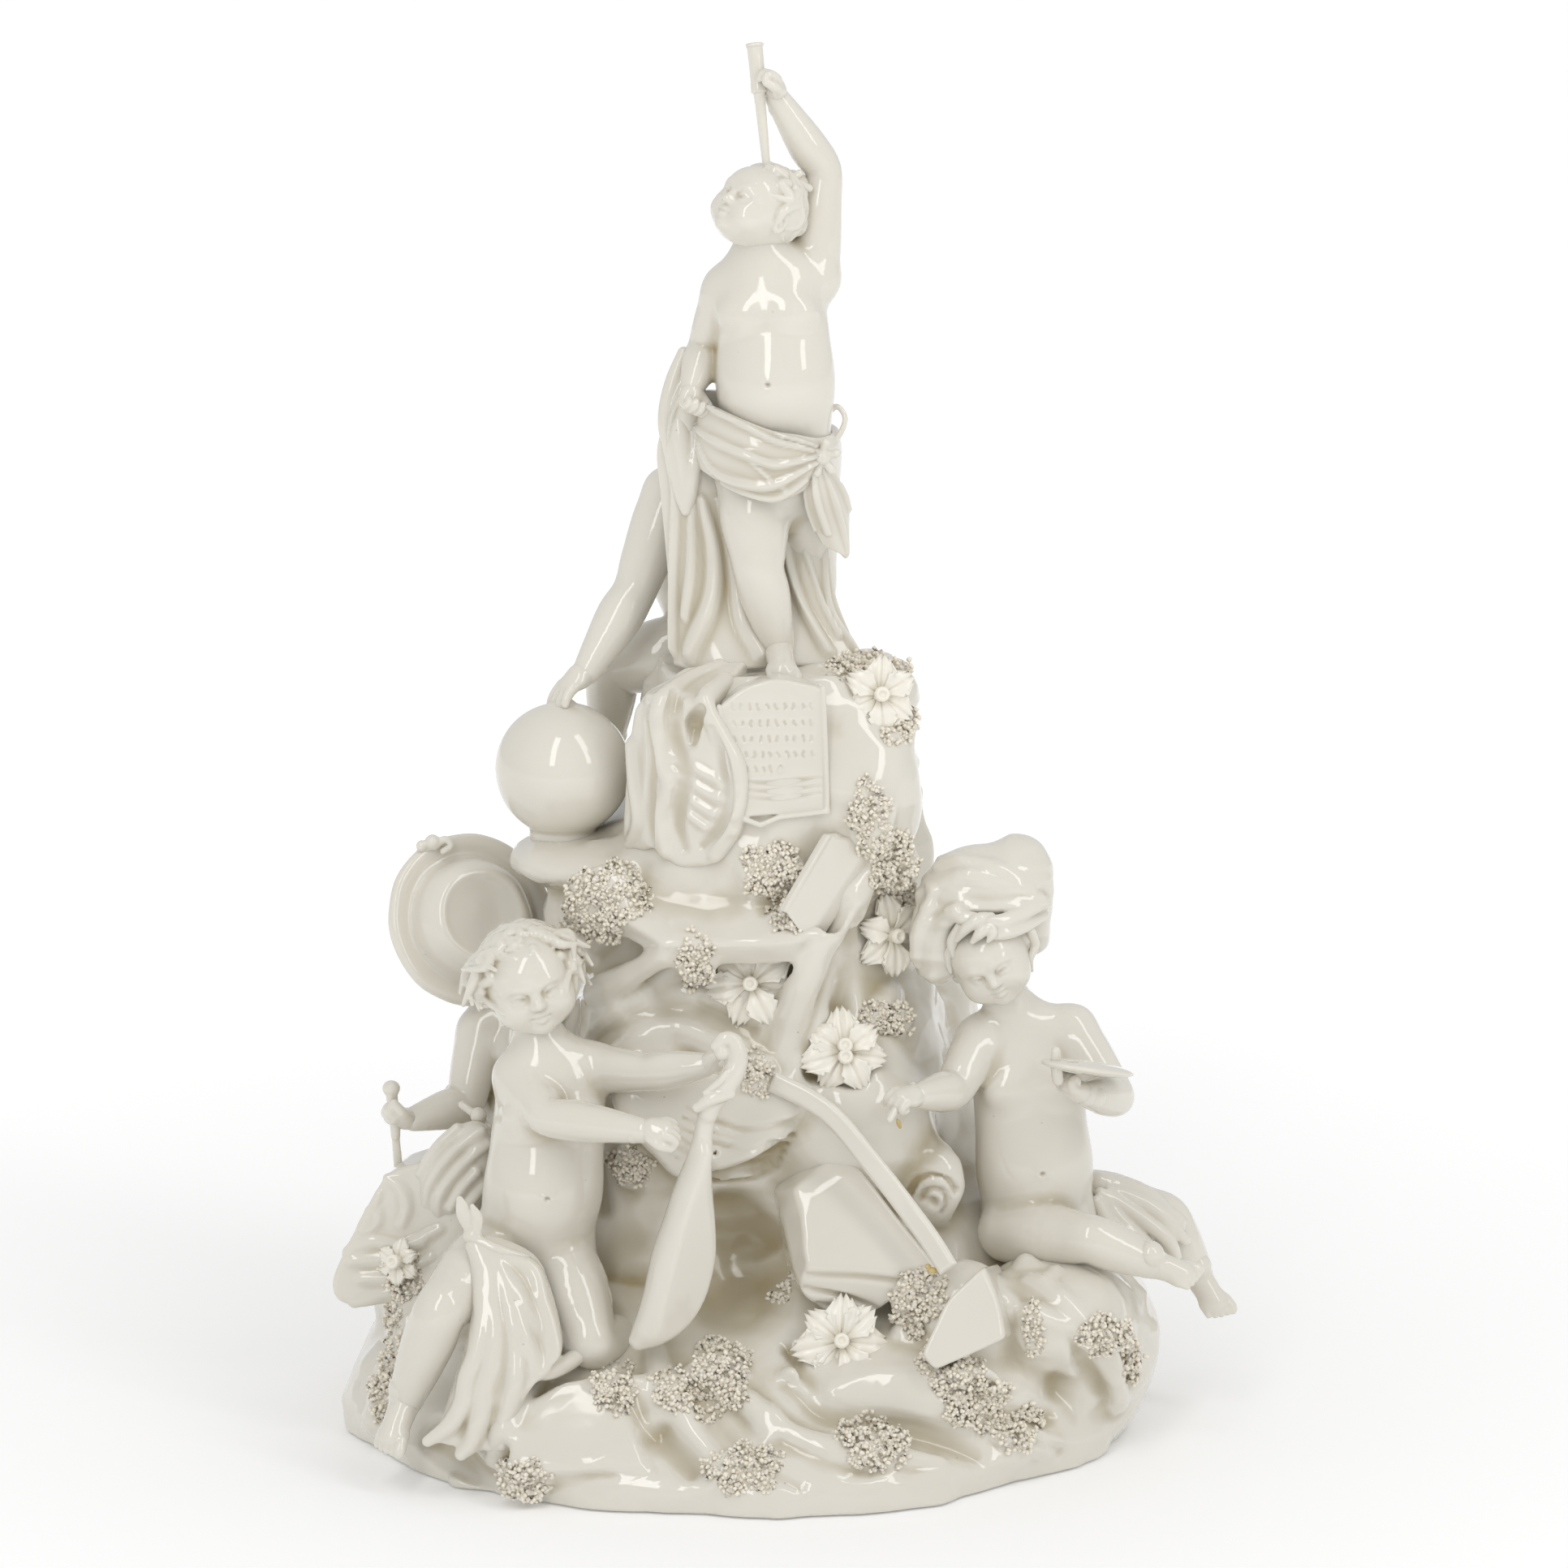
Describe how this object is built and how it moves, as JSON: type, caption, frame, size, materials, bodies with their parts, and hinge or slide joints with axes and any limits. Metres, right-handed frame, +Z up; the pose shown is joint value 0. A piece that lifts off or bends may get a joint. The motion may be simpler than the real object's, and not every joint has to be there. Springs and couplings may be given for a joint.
{
  "type": "porcelain figure group",
  "caption": "Glazed white porcelain group of cherub-like children with attributes of the arts and sciences on a rocky mound with moss, flowers and drapery.",
  "frame": {"origin": "middle of the bounding box, on the flat underside that the group stands on", "axes": "+Z up, -Y towards the viewer of the front, +X to that viewer's right"},
  "size_m": [0.2946, 0.2182, 0.4488],
  "materials": {
    "porcelain": "glossy ivory-white glaze, matt where the moss is"
  },
  "bodies": {
    "root": {"porcelain_group": "porcelain"}
  },
  "joints": []
}
